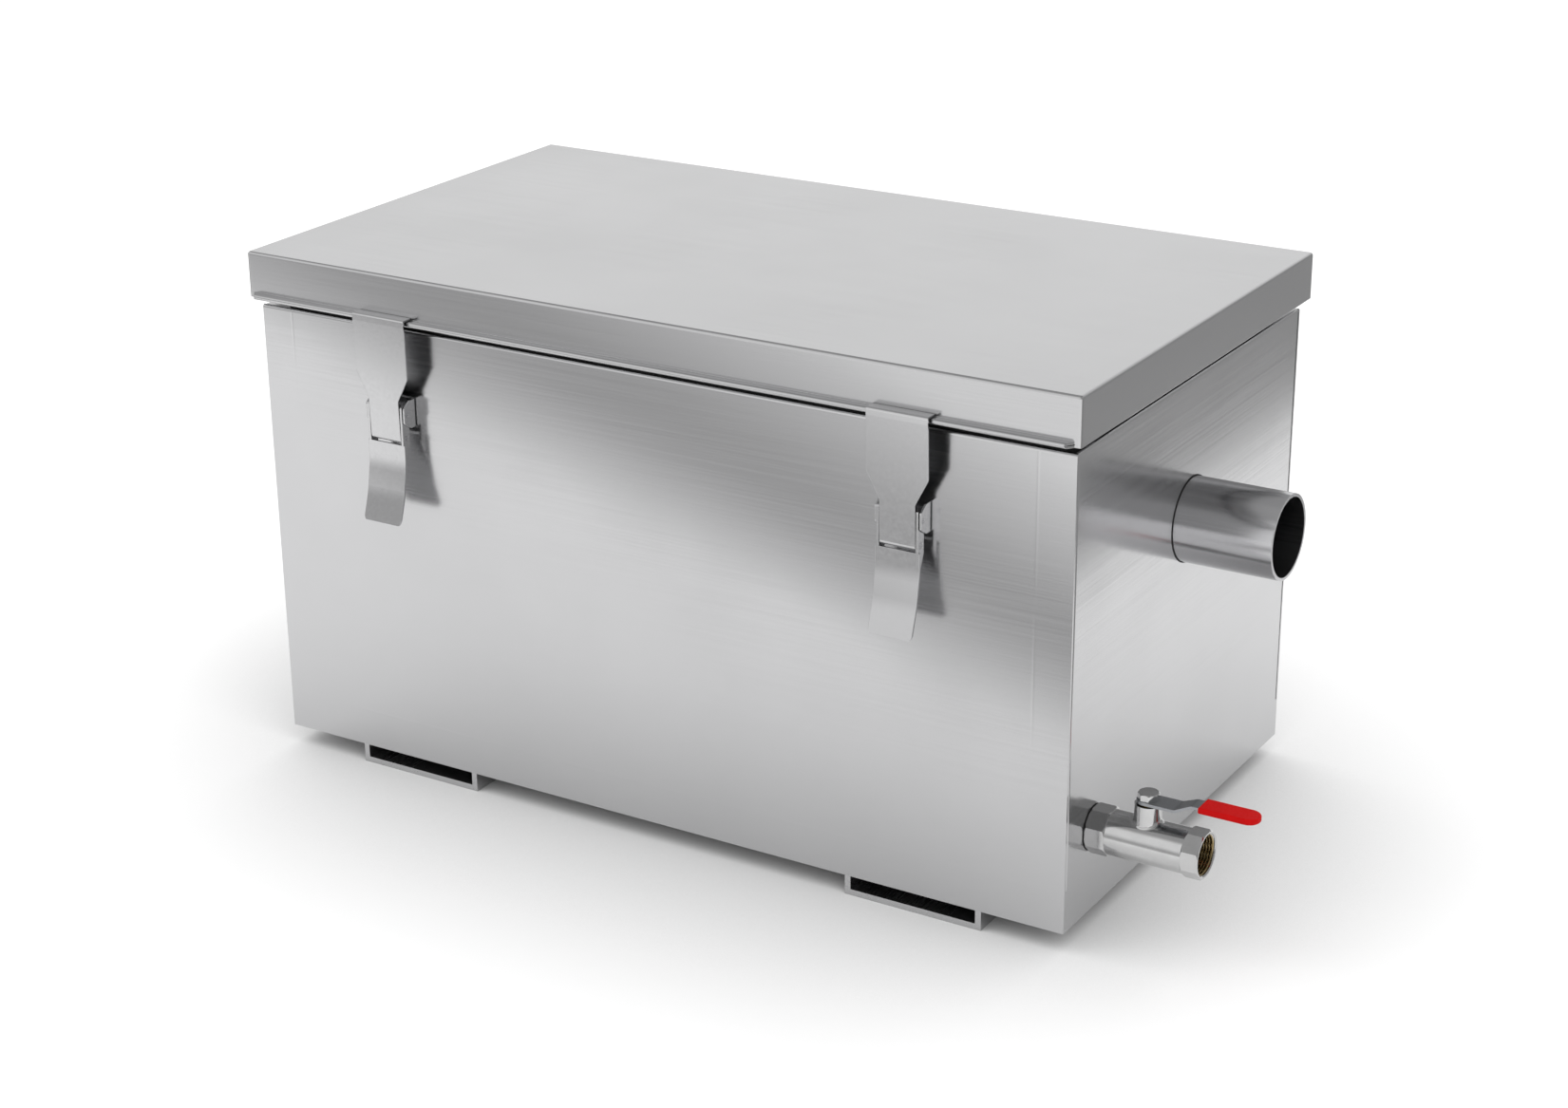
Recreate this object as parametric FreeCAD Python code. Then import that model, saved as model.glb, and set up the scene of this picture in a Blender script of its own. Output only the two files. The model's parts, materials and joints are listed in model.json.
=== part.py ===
import FreeCAD, Part
import math
import os

Vector = FreeCAD.Vector

# Under-sink grease trap of welded stainless sheet, with a lid held by four toggle latches.
# Lengths are millimetres. The tank is centred on X and Y here, and its feet stand on Z = 0.

# Tank shell: outside sizes, sheet and folds
tank_length = 590.0
tank_depth = 326.0
tank_height = 302.5
sheet = 1.5
bend_radius = 0.5
rim_width = 25.0
end_flange = 24.0
floor_flange = 26.0
flange_end_gap = 1.0

# Feet: two wide channels under the floor
foot_width = 95.0
foot_height = 13.0
foot_wall = 4.0
foot_inset_left = 61.4
foot_inset_right = 55.0

# Lid: a shallow pan with a hem along its two long edges
lid_overhang_ends = 5.0
lid_overhang_sides = 6.25
lid_height = 30.4
hem_reach = 5.4
hem_gap = 0.5
hem_end_inset = 4.0
hem_end_slant = 4.1
corner_mitre = 1.0

# Gasket between the lid's seat and the tank's rim
gasket_inset = 10.0
gasket_width = 12.0
gasket_thickness = 6.1
gasket_corner = 8.0
gasket_inner_corner = 1.0

# Pipe stubs for 54 mm tube
pipe_radius = 27.0
pipe_wall = 2.0
pipe_reach = 64.0
outlet_height = 211.0
inlet_rise = 15.0
inlet_inner_reach = 25.0
outlet_straight = 12.0
elbow_radius = 40.0
dip_clearance = 60.0
pipe_seal_width = 0.6
pipe_seal_proud = 0.3
pipe_seal_groove = 0.6

# Inner plates
weir_x = -70.0
weir_height = 150.0
baffle_x = 150.0
baffle_bottom = 60.0
baffle_top_gap = 20.0
plate_flange = 15.0

# Strainer basket and its ledges
basket_end_gap = 1.0
basket_length = 170.0
basket_depth = 90.0
basket_sheet = 1.2
basket_rim = 15.0
basket_below_inlet = 7.0
basket_side_play = 2.0
slot_width = 6.0
slot_pitch = 24.0
slot_margin = 14.0
grip_hole_width = 60.0
grip_hole_height = 16.0
grip_hole_corner = 5.0
ledge_width = 20.0
ledge_height = 20.0

# Drain valve on the right end, near the front
drain_from_front = 37.75
drain_height = 55.0
seal_thickness = 0.5
seal_radius = 14.6
octagon_flats = 28.5
octagon_face_radius = 14.4
inlet_octagon_length = 12.5
body_length = 61.5
body_radius = 14.0
end_octagon_length = 11.2
thread_radius = 12.06
socket_depth = 11.0
nipple_radius = 13.2
nipple_bore = 10.4
nipple_inner_reach = 8.0
bore_radius = 9.0
cavity_radius = 12.5
mouth_chamfer = 1.0
stem_from_body_end = 27.1
ball_radius = 11.0
ball_port = 7.5
seat_bore = 7.6
seat_outside = 14.0
seat_inside = 7.5
ball_clearance = 0.3

# Valve stem, lever and grip, measured up from the valve's axis
neck_radius = 8.3
neck_top = 24.7
neck_fillet = 2.5
stem_radius = 4.0
stem_shoulder = 25.7
tang_width = 4.0
tang_depth = 2.8
tang_length = 6.0
packing_radius = 6.0
packing_height = 4.5
gland_height = 1.7
drive_flats = 5.2
lever_sheet = 1.8
lever_half_width = 7.2
lever_waist = 5.6
lever_step_start = 19.0
lever_step_end = 29.0
lever_step_height = 4.5
lever_tip = 68.8
lever_bend = 4.0
bolt_flats = 12.4
bolt_head = 4.5
bolt_face_radius = 5.9
bolt_radius = 1.95
bolt_length = 10.0
grip_start = 34.0
grip_half_width = 7.5
grip_wall = 1.0
grip_cover = 1.5

# Toggle latches: heights from the pivot pin, offsets out from the tank's face
latch_x = 187.7
latch_drop = 53.8
latch_sheet = 1.2
lever_plate = 1.5
latch_face = 12.8
hook_top_offset = 14.6
hook_half_width = 20.3
tongue_half_width = 11.8
taper_start = 26.3
taper_end = 9.8
lip_height = 4.7
claw_clearance = 0.3
pivot_offset = 9.9
pivot_radius = 1.5
hook_pin_radius = 2.0
hook_throw = 15.7
eye_slit = 0.5
window_gap = 0.75
lever_half = 14.65
lever_top = 6.0
cheek_depth = 6.9
cheek_play = 0.45
ear_reach = 12.2
ear_root_half = 9.2
ear_tip_half = 5.0
ear_taper_from = 5.9
handle_bend_one = 32.7
handle_bend_two = 54.7
handle_tip = 71.7
handle_rise_one = 3.8
handle_rise_two = 9.4
handle_curve = 60.0
handle_corner = 5.0
gusset_end = 37.7
gusset_start = 21.7
gusset_lead = 3.0
gusset_tuck = 0.2
cheek_corner = 3.0
edge_corner = 1.0
ear_tip_corner = 1.5
hook_corner = 2.0
claw_bend = 0.3

# Clearances that fits and seats share
fit_clearance = 0.05
thin_slip = 0.1

# Slack for picking edges by their place
tolerance = 0.01

# Levels and places worked out from the sizes above
half_length = tank_length / 2.0
half_depth = tank_depth / 2.0
tank_bottom = foot_height
tank_top = tank_bottom + tank_height
lid_bottom = tank_top + gasket_thickness
lid_top = lid_bottom + lid_height
lid_half_length = half_length + lid_overhang_ends
lid_half_depth = half_depth + lid_overhang_sides
hem_height = 2.0 * sheet + hem_gap
hem_top = lid_bottom + hem_height
outlet_z = tank_bottom + outlet_height
inlet_z = outlet_z + inlet_rise
drain_y = -half_depth + drain_from_front
drain_z = tank_bottom + drain_height
valve_start = half_length + seal_thickness
valve_joint = valve_start + body_length
valve_mouth = valve_joint + end_octagon_length
stem_x = valve_joint - stem_from_body_end
pivot_z = tank_top - latch_drop
hook_pin_z = pivot_z - hook_throw
eye_radius = hook_pin_radius + fit_clearance + latch_sheet
hook_pin_offset = latch_face - eye_radius
inlet_end = -half_length - pipe_reach
basket_x = end_flange + basket_end_gap + basket_length / 2.0 - half_length
grip_end = stem_x + lever_tip + grip_cover
# The origin of the finished part lies midway between the inlet's end and the grip's end
origin_x = (inlet_end + grip_end) / 2.0


def point(plane, station, u, v):
    """Turn plane coordinates into a point: yz runs along X, xz along Y and xy along Z."""
    if plane == "yz":
        return Vector(station, u, v)
    if plane == "xz":
        return Vector(u, station, v)
    return Vector(u, v, station)


def extrude(face, plane, length):
    """Extrude a section along the axis that its plane name leaves out."""
    direction = {"yz": Vector(length, 0, 0), "xz": Vector(0, length, 0), "xy": Vector(0, 0, length)}
    return face.extrude(direction[plane])


def box(x0, x1, y0, y1, z0, z1):
    """Rectangular block between two corners."""
    return Part.makeBox(x1 - x0, y1 - y0, z1 - z0, Vector(x0, y0, z0))


def cylinder(radius, start, end):
    """Round bar between two points."""
    return Part.makeCylinder(radius, (end - start).Length, start, end - start)


def unit(a, b):
    """Direction from plane point a to plane point b."""
    length = math.hypot(b[0] - a[0], b[1] - a[1])
    return ((b[0] - a[0]) / length, (b[1] - a[1]) / length)


def add_line(edges, start, end):
    """Append a straight edge unless its ends are the same point."""
    if start.distanceToPoint(end) > 1e-6:
        edges.append(Part.LineSegment(start, end).toShape())


def rounded_face(corners, plane, station):
    """Closed flat outline whose corners are (u, v, radius)."""
    count = len(corners)
    marks = []
    for i in range(count):
        before, here, after = corners[i - 1], corners[i], corners[(i + 1) % count]
        d1, d2 = unit(before, here), unit(here, after)
        turn = math.acos(max(-1.0, min(1.0, d1[0] * d2[0] + d1[1] * d2[1])))
        back = here[2] * math.tan(turn / 2.0)
        start = (here[0] - d1[0] * back, here[1] - d1[1] * back)
        end = (here[0] + d2[0] * back, here[1] + d2[1] * back)
        inward = unit((0.0, 0.0), (d2[0] - d1[0], d2[1] - d1[1])) if turn > 1e-6 else (0.0, 0.0)
        depth = here[2] / math.cos(turn / 2.0) - here[2]
        middle = (here[0] + inward[0] * depth, here[1] + inward[1] * depth)
        marks.append((start, middle, end, here[2]))
    edges = []
    for i in range(count):
        start, middle, end, radius = marks[i]
        a, m, b = (point(plane, station, *p) for p in (start, middle, end))
        if radius > 0.0 and a.distanceToPoint(b) > 1e-6:
            edges.append(Part.Arc(a, m, b).toShape())
        following = point(plane, station, *marks[(i + 1) % count][0])
        add_line(edges, b, following)
    return Part.Face(Part.Wire(edges))


def prism(corners, plane, station, length):
    """Plate with rounded corners."""
    return extrude(rounded_face(corners, plane, station), plane, length)


def folded(path, thickness, radii, plane, station, length):
    """Folded sheet: path is one face of the sheet, whose thickness lies to the left of travel.

    radii holds the inside radius of each fold, in order along the path.
    """
    near, far = [], []
    for i, here in enumerate(path):
        if i == 0 or i == len(path) - 1:
            d = unit(path[0], path[1]) if i == 0 else unit(path[-2], path[-1])
            near.append((here,))
            far.append(((here[0] - d[1] * thickness, here[1] + d[0] * thickness),))
            continue
        d1, d2 = unit(path[i - 1], here), unit(here, path[i + 1])
        side = 1.0 if d1[0] * d2[1] - d1[1] * d2[0] > 0.0 else -1.0
        turn = math.acos(max(-1.0, min(1.0, d1[0] * d2[0] + d1[1] * d2[1])))
        radius = radii[i - 1] + (thickness if side > 0.0 else 0.0)
        back = radius * math.tan(turn / 2.0)
        start = (here[0] - d1[0] * back, here[1] - d1[1] * back)
        end = (here[0] + d2[0] * back, here[1] + d2[1] * back)
        centre = (start[0] - d1[1] * radius * side, start[1] + d1[0] * radius * side)
        out = unit(centre, here)
        far_radius = radius - thickness * side
        near.append((start, (centre[0] + out[0] * radius, centre[1] + out[1] * radius), end))
        far.append((
            (start[0] - d1[1] * thickness, start[1] + d1[0] * thickness),
            (centre[0] + out[0] * far_radius, centre[1] + out[1] * far_radius),
            (end[0] - d2[1] * thickness, end[1] + d2[0] * thickness),
        ))
    loop = near + [tuple(reversed(group)) for group in reversed(far)]
    edges = []
    for i, group in enumerate(loop):
        spots = [point(plane, station, *p) for p in group]
        if len(spots) == 3:
            edges.append(Part.Arc(*spots).toShape())
        following = loop[(i + 1) % len(loop)][0]
        add_line(edges, spots[-1], point(plane, station, *following))
    return extrude(Part.Face(Part.Wire(edges)), plane, length)


def octagon(flats, start, end, plane):
    """Eight-sided bar along X or Z, with two flats level."""
    radius = flats / 2.0 / math.cos(math.pi / 8.0)
    corners = []
    for i in range(8):
        angle = math.pi / 8.0 + i * math.pi / 4.0
        corners.append((radius * math.cos(angle), radius * math.sin(angle), 0.0))
    shape = prism(corners, plane, 0.0, (end - start).Length)
    shape.translate(start)
    return shape


def spanner_octagon(start, end):
    """Octagon of the valve, with its corners turned off at 45 degrees at both ends."""
    half = (end - start).Length / 2.0
    wide = octagon_face_radius + half
    middle = (start + end) / 2.0
    blank = Part.makeCone(octagon_face_radius, wide, half, start, end - start)
    blank = blank.fuse(Part.makeCone(wide, octagon_face_radius, half, middle, end - start))
    return octagon(octagon_flats, start, end, "yz").common(blank)


def turned_about(shape):
    """The same piece on the opposite side: half a turn about the tank's upright axis."""
    copy = shape.copy()
    copy.rotate(Vector(0, 0, 0), Vector(0, 0, 1), 180.0)
    return copy


def pan(half_x, half_y, z0, z1, open_side, thickness, radius):
    """Open box with rounded folds, open at its top or its bottom."""
    outer = box(-half_x, half_x, -half_y, half_y, z0, z1)
    closed_z = z0 if open_side == "top" else z1
    outer = outer.makeFillet(radius + thickness, fold_edges(outer, closed_z))
    low = z0 + thickness if open_side == "top" else z0
    high = z1 if open_side == "top" else z1 - thickness
    inside_x = half_x - thickness
    inside_y = half_y - thickness
    inner = box(-inside_x, inside_x, -inside_y, inside_y, low, high)
    inner_z = low if open_side == "top" else high
    inner = inner.makeFillet(radius, fold_edges(inner, inner_z))
    return outer.cut(inner)


def fold_edges(block, closed_z):
    """Upright edges of a block and the edges round its closed face."""
    chosen = []
    for edge in block.Edges:
        levels = [vertex.Z for vertex in edge.Vertexes]
        upright = abs(levels[0] - levels[1]) > 1e-6
        on_face = abs(levels[0] - closed_z) < 1e-6 and not upright
        if upright or on_face:
            chosen.append(edge)
    return chosen


def lid():
    """Pan with a seat folded in below and a closed hem folded out along front and back."""
    shell = pan(lid_half_length, lid_half_depth, lid_bottom, lid_top, "bottom", sheet, bend_radius)
    seat_x = half_length - rim_width
    seat_y = half_depth - rim_width
    seat = box(sheet - lid_half_length, lid_half_length - sheet, sheet - lid_half_depth,
               lid_half_depth - sheet, lid_bottom, lid_bottom + sheet)
    seat = seat.cut(box(-seat_x, seat_x, -seat_y, seat_y, lid_bottom, lid_bottom + sheet))
    for sign_x in (-1.0, 1.0):
        for sign_y in (-1.0, 1.0):
            inner = Vector(sign_x * seat_x, sign_y * seat_y, lid_bottom)
            outer_x = lid_half_length - sheet
            outer_y = lid_half_depth - sheet
            outer = Vector(sign_x * outer_x, sign_y * outer_y, lid_bottom)
            seat = seat.cut(diagonal_slit(inner, outer, corner_mitre, sheet))
    shell = shell.fuse(seat)
    for turn in (False, True):
        web = box(hem_end_inset - lid_half_length, lid_half_length - hem_end_inset, -lid_half_depth,
                  sheet - lid_half_depth, lid_bottom + sheet, hem_top - sheet)
        hem = lid_hem()
        shell = shell.cut(turned_about(web) if turn else web)
        shell = shell.fuse(turned_about(hem) if turn else hem)
    return shell.removeSplitter()


def diagonal_slit(inner, outer, width, height):
    """Thin upright cutter along a mitre line."""
    along = outer - inner
    across = Vector(-along.y, along.x, 0.0).normalize() * (width / 2.0)
    start = inner - across.cross(Vector(0, 0, 1))
    corners = [start - across, outer - across, outer + across, start + across, start - across]
    return Part.Face(Part.makePolygon(corners)).extrude(Vector(0, 0, height))


def lid_hem():
    """Front hem: folded out at its top, round its edge and back under, with slanted ends."""
    edge_y = -lid_half_depth - hem_reach
    root_y = sheet - lid_half_depth
    path = [(root_y, hem_top), (edge_y, hem_top), (edge_y, lid_bottom), (root_y, lid_bottom)]
    fold = hem_gap / 2.0
    hem = folded(path, sheet, [fold, fold], "yz", -lid_half_length, 2.0 * lid_half_length)
    inner_x = lid_half_length - hem_end_inset
    outer_x = inner_x - hem_end_slant
    plan = [(-inner_x, root_y, 0.0), (-inner_x, -lid_half_depth, 0.0), (-outer_x, edge_y, 0.0),
            (outer_x, edge_y, 0.0), (inner_x, -lid_half_depth, 0.0), (inner_x, root_y, 0.0)]
    return hem.common(prism(plan, "xy", lid_bottom, hem_height))


def gasket():
    """Flat rubber frame on the tank's rim."""
    x = half_length - gasket_inset
    y = half_depth - gasket_inset
    outer = prism(rectangle(x, y, gasket_corner), "xy", tank_top, gasket_thickness)
    inner = rectangle(x - gasket_width, y - gasket_width, gasket_inner_corner)
    return outer.cut(prism(inner, "xy", tank_top, gasket_thickness))


def rectangle(half_u, half_v, radius):
    """Corners of a centred rectangle, anticlockwise."""
    return [(-half_u, -half_v, radius), (half_u, -half_v, radius),
            (half_u, half_v, radius), (-half_u, half_v, radius)]


def front_panel():
    """Front wall with its rim folded in, notched at both ends for the end panels."""
    path = [(rim_width - half_depth, tank_top), (-half_depth, tank_top), (-half_depth, tank_bottom)]
    panel = folded(path, sheet, [bend_radius], "yz", -half_length, tank_length)
    for sign in (-1.0, 1.0):
        edge = sign * half_length
        inside = sign * (half_length - sheet)
        low, high = min(edge, inside), max(edge, inside)
        notch_y = rim_width - half_depth
        panel = panel.cut(box(low, high, sheet - half_depth, notch_y, tank_top - rim_width, tank_top))
    return panel


def end_panel():
    """Right wall with flanges turned in along both sides and a rim along its top."""
    side = half_depth - sheet
    rise = [(half_length, tank_bottom), (half_length, tank_top), (half_length - rim_width, tank_top)]
    wall = folded(rise, sheet, [bend_radius], "xz", -side, 2.0 * side)
    rim_end = half_depth - rim_width
    for low, high in ((-side, -rim_end), (rim_end, side)):
        inside = half_length - sheet
        wall = wall.cut(box(inside - rim_width, inside, low, high, tank_top - rim_width, tank_top))
    flange_low = tank_bottom + floor_flange + flange_end_gap
    plan = [(half_length - end_flange, -side), (half_length, -side), (half_length, side),
            (half_length - end_flange, side)]
    flange_top = tank_top - sheet - bend_radius
    flanges = folded(plan, sheet, [bend_radius, bend_radius], "xy", flange_low, flange_top - flange_low)
    corner = bend_radius + sheet
    trim = box(half_length - sheet, half_length, -side, side, flange_low, flange_top)
    keep = box(half_length - sheet, half_length, corner - side, side - corner, flange_low, flange_top)
    wall = wall.cut(trim).fuse(keep)
    return wall.fuse(flanges).removeSplitter()


def right_end_panel():
    """End wall with the holes of the outlet pipe and the drain nipple."""
    panel = end_panel()
    through = Vector(sheet, 0, 0)
    pipe_hole = Vector(half_length - sheet, 0, outlet_z)
    nipple_hole = Vector(half_length - sheet, drain_y, drain_z)
    panel = panel.cut(cylinder(pipe_radius + pipe_seal_width, pipe_hole, pipe_hole + through))
    return panel.cut(cylinder(nipple_radius + fit_clearance, nipple_hole, nipple_hole + through))


def left_end_panel():
    """End wall with the hole of the inlet pipe."""
    panel = turned_about(end_panel())
    pipe_hole = Vector(-half_length, 0, inlet_z)
    return panel.cut(cylinder(pipe_radius + pipe_seal_width, pipe_hole, pipe_hole + Vector(sheet, 0, 0)))


def floor_pan():
    """Tray that closes the bottom, with its flanges turned up inside the walls."""
    high = tank_bottom + floor_flange
    return pan(half_length - sheet, half_depth - sheet, tank_bottom, high, "top", sheet, bend_radius)


def foot(x0):
    """Wide channel, open upwards, across the full depth of the tank."""
    x1 = x0 + foot_width
    outer = box(x0, x1, -half_depth, half_depth, 0.0, foot_height)
    inner = box(x0 + foot_wall, x1 - foot_wall, -half_depth, half_depth, foot_wall, foot_height)
    return outer.cut(inner)


def tube(radius, wall, start, end):
    """Round tube between two points."""
    return cylinder(radius, start, end).cut(cylinder(radius - wall, start, end))


def inlet_pipe():
    """Straight stub that ends above the basket, with a groove for its seal."""
    start = Vector(inlet_end, 0, inlet_z)
    stub = tube(pipe_radius, pipe_wall, start, Vector(inlet_inner_reach - half_length, 0, inlet_z))
    return stub.cut(inlet_seal())


def outlet_pipe():
    """Stub with a groove for its seal, an elbow inside the tank and a leg that dips below the grease."""
    bend_x = half_length - sheet - outlet_straight
    leg_x = bend_x - elbow_radius
    bend_z = outlet_z - elbow_radius
    foot_z = tank_bottom + dip_clearance
    bend_start = Vector(bend_x, 0, outlet_z)
    stub_end = Vector(half_length + pipe_reach, 0, outlet_z)
    solids = []
    for radius in (pipe_radius, pipe_radius - pipe_wall):
        ring = Part.Face(Part.Wire(Part.makeCircle(radius, bend_start, Vector(1, 0, 0))))
        elbow = ring.revolve(Vector(bend_x, 0, bend_z), Vector(0, -1, 0), 90.0)
        straight = cylinder(radius, bend_start, stub_end)
        leg = cylinder(radius, Vector(leg_x, 0, foot_z), Vector(leg_x, 0, bend_z))
        solids.append(straight.fuse([elbow, leg]))
    return solids[0].cut(solids[1]).removeSplitter().cut(outlet_seal())


def pipe_seal(x_face, z, outward):
    """Rubber ring that sits in a pipe's groove and fills the hole in the wall."""
    start = Vector(x_face - outward * sheet, 0, z)
    end = Vector(x_face + outward * pipe_seal_proud, 0, z)
    return tube(pipe_radius + pipe_seal_width, pipe_seal_width + pipe_seal_groove, start, end)


def inlet_seal():
    """Seal of the inlet pipe, in the left wall."""
    return pipe_seal(-half_length, inlet_z, -1.0)


def outlet_seal():
    """Seal of the outlet pipe, in the right wall."""
    return pipe_seal(half_length, outlet_z, 1.0)


def sediment_weir():
    """Low wall on the floor that holds back what settles, flanged to the front and back walls."""
    side = half_depth - sheet
    low = tank_bottom + floor_flange + flange_end_gap
    end_x = weir_x + plate_flange
    plan = [(end_x, side), (weir_x, side), (weir_x, -side), (end_x, -side)]
    plate = folded(plan, sheet, [bend_radius, bend_radius], "xy", low, tank_bottom + weir_height - low)
    inner = side - sheet - bend_radius
    foot_strip = box(weir_x, weir_x + sheet, -inner, inner, tank_bottom + sheet, low)
    return plate.fuse(foot_strip).removeSplitter()


def grease_baffle():
    """Hanging wall that holds back the grease, open below and flanged to the front and back walls."""
    side = half_depth - sheet
    low = tank_bottom + baffle_bottom
    high = tank_top - sheet - baffle_top_gap
    end_x = baffle_x + plate_flange
    plan = [(end_x, side), (baffle_x, side), (baffle_x, -side), (end_x, -side)]
    return folded(plan, sheet, [bend_radius, bend_radius], "xy", low, high - low)


def basket_top():
    """Level of the underside of the basket's rim."""
    return inlet_z - pipe_radius - basket_below_inlet


def basket_half_width():
    """Half of the basket's body, clear of the ledges."""
    return half_depth - sheet - ledge_width - basket_side_play


def strainer_basket():
    """Slotted sheet basket with an outward rim and two finger holes."""
    half_x = basket_length / 2.0
    half_y = basket_half_width()
    top = basket_top() + basket_sheet
    low = top - basket_depth
    body = pan(half_x, half_y, low, top, "top", basket_sheet, bend_radius)
    rim = box(-half_x - basket_rim, half_x + basket_rim, -half_y - basket_rim, half_y + basket_rim,
              top - basket_sheet, top)
    inside = prism(rectangle(half_x - basket_sheet, half_y - basket_sheet, bend_radius), "xy",
                   top - basket_sheet, basket_sheet)
    basket = body.fuse(rim.cut(inside))
    cutters = []
    half_slot = slot_width / 2.0
    wall_low = low + slot_margin
    wall_high = top - slot_margin - grip_hole_height
    count_x = int((basket_length - 2.0 * slot_margin) / slot_pitch)
    count_y = int((2.0 * half_y - 2.0 * slot_margin) / slot_pitch)
    for i in range(count_x + 1):
        x = (i - count_x / 2.0) * slot_pitch
        cutters.append(box(x - half_slot, x + half_slot, -half_y, half_y, wall_low, wall_high))
    for i in range(count_y + 1):
        y = (i - count_y / 2.0) * slot_pitch
        cutters.append(box(-half_x, half_x, y - half_slot, y + half_slot, wall_low, wall_high))
        for low_x, high_x in ((slot_margin - half_x, -half_slot), (half_slot, half_x - slot_margin)):
            cutters.append(box(low_x, high_x, y - half_slot, y + half_slot, low, low + basket_sheet))
    hole = prism(rectangle(grip_hole_width / 2.0, grip_hole_height / 2.0, grip_hole_corner), "xz", -half_y,
                 2.0 * half_y)
    hole.translate(Vector(0, 0, top - slot_margin))
    cutters.append(hole)
    basket = basket.cut(cutters).removeSplitter()
    basket.translate(Vector(basket_x, 0, 0))
    return basket


def basket_ledge():
    """Angle on the front wall that the basket's rim rests on."""
    wall_y = sheet - half_depth
    level = basket_top()
    path = [(wall_y, level - ledge_height), (wall_y, level), (wall_y + ledge_width, level)]
    path.reverse()
    half_x = basket_length / 2.0
    return folded(path, sheet, [bend_radius], "yz", basket_x - half_x, 2.0 * half_x)


def valve_point(x, up=0.0):
    """Point on the valve's axis, or above it."""
    return Vector(x, drain_y, drain_z + up)


def valve_bar(radius, start, end):
    """Round bar along the valve's axis."""
    return cylinder(radius, valve_point(start), valve_point(end))


def drain_nipple():
    """Short threaded pipe welded in the end wall, which carries the valve."""
    start = half_length - nipple_inner_reach
    end = valve_start + socket_depth
    return valve_bar(nipple_radius, start, end).cut(valve_bar(nipple_bore, start, end))


def drain_seal():
    """Flat rubber washer between the wall and the valve."""
    washer = valve_bar(seal_radius, half_length, valve_start)
    return washer.cut(valve_bar(nipple_radius + fit_clearance, half_length, valve_start))


def valve_body():
    """Cast body: octagon for a spanner, round barrel and an upright neck for the stem."""
    barrel_start = valve_start + inlet_octagon_length
    ring = spanner_octagon(valve_point(valve_start), valve_point(barrel_start))
    barrel = valve_bar(body_radius, barrel_start, valve_joint)
    neck = cylinder(neck_radius, valve_point(stem_x), valve_point(stem_x, neck_top))
    barrel = fillet_neck(barrel.fuse(neck))
    body = barrel.fuse(ring)
    socket = valve_bar(nipple_radius + fit_clearance, valve_start, valve_start + socket_depth)
    passage = valve_bar(bore_radius, valve_start + socket_depth, valve_joint)
    cavity = valve_bar(cavity_radius, stem_x - seat_outside, valve_joint)
    neck_end = valve_point(stem_x, neck_top)
    stem_hole = cylinder(stem_radius + fit_clearance, valve_point(stem_x), neck_end)
    recess_low = neck_top - packing_height - gland_height
    recess = cylinder(packing_radius, valve_point(stem_x, recess_low), neck_end)
    return body.cut([socket, passage, cavity, stem_hole, recess]).removeSplitter()


def fillet_neck(casting):
    """Round the seam between barrel and neck."""
    seam = []
    for edge in casting.Edges:
        bounds = edge.BoundBox
        reach = neck_radius + tolerance
        low_enough = bounds.ZMax < drain_z + body_radius + tolerance
        at_neck = bounds.XMin > stem_x - reach and bounds.XMax < stem_x + reach
        wide_enough = bounds.XLength > neck_radius or bounds.YLength > neck_radius
        if low_enough and at_neck and wide_enough:
            seam.append(edge)
    return casting.makeFillet(neck_fillet, seam)


def valve_end():
    """Screwed-in end piece: octagon, threaded mouth and a tail that holds the outer seat."""
    ring = spanner_octagon(valve_point(valve_joint), valve_point(valve_mouth))
    tail_start = stem_x + seat_outside
    tail = valve_bar(cavity_radius - fit_clearance, tail_start, valve_joint)
    passage = valve_bar(bore_radius, tail_start, valve_mouth)
    mouth = valve_bar(thread_radius, valve_joint + fit_clearance, valve_mouth)
    chamfer = Part.makeCone(thread_radius, thread_radius + mouth_chamfer, mouth_chamfer,
                            valve_point(valve_mouth - mouth_chamfer), Vector(1, 0, 0))
    return ring.fuse(tail).cut([passage, mouth, chamfer]).removeSplitter()


def ball_seat(side):
    """Plastic ring on one side of the ball, hollowed to the ball's curve."""
    start = stem_x + side * seat_inside
    end = stem_x + side * seat_outside
    ring = valve_bar(cavity_radius - thin_slip, start, end)
    hollow = Part.makeSphere(ball_radius + ball_clearance, valve_point(stem_x))
    return ring.cut([valve_bar(seat_bore, start, end), hollow])


def valve_ball():
    """Drilled ball with a slot on top for the stem."""
    ball = Part.makeSphere(ball_radius, valve_point(stem_x))
    port = valve_bar(ball_port, stem_x - ball_radius, stem_x + ball_radius)
    half = tang_width / 2.0 + thin_slip
    slot = box(stem_x - ball_radius, stem_x + ball_radius, drain_y - half, drain_y + half,
               drain_z + ball_radius - tang_depth - thin_slip, drain_z + ball_radius)
    return ball.cut([port, slot])


def stem():
    """Spindle from the ball's slot up to the lever, with a flattened top."""
    base = ball_radius + thin_slip
    spindle = cylinder(stem_radius, valve_point(stem_x, base), valve_point(stem_x, stem_shoulder))
    half = tang_width / 2.0
    tang = box(stem_x - tang_length / 2.0, stem_x + tang_length / 2.0, drain_y - half, drain_y + half,
               drain_z + ball_radius - tang_depth, drain_z + base)
    top = stem_shoulder + lever_sheet - thin_slip
    drive = drive_shape(stem_radius, drive_flats, stem_shoulder, top)
    hole_low = stem_shoulder + lever_sheet - bolt_length
    hole = cylinder(bolt_radius + fit_clearance, valve_point(stem_x, hole_low),
                    valve_point(stem_x, top))
    return spindle.fuse([tang, drive]).cut(hole).removeSplitter()


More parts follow.
